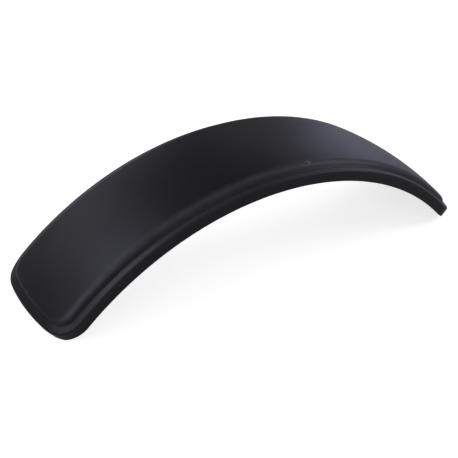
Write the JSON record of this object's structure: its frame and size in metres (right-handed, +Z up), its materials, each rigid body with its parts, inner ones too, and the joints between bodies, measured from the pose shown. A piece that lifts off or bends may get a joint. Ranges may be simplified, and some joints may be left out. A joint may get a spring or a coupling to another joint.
{
  "type": "wheel mudguard",
  "caption": "Arched one-piece wheel mudguard with a domed crown, rounded shoulders, and a ledge and turned-down skirt all round its edge.",
  "frame": {"origin": "middle of the floor area that the guard stands over, on its two end skirts", "axes": "+X along the wheel's travel and the guard's length, +Y along the axle and the guard's width, +Z up through the crown's middle"},
  "size_m": [0.7594, 0.2, 0.1945],
  "materials": {
    "moulded_rubber": "satin, faintly mottled moulded skin"
  },
  "bodies": {
    "root": {"mudguard": "moulded_rubber"}
  },
  "joints": []
}
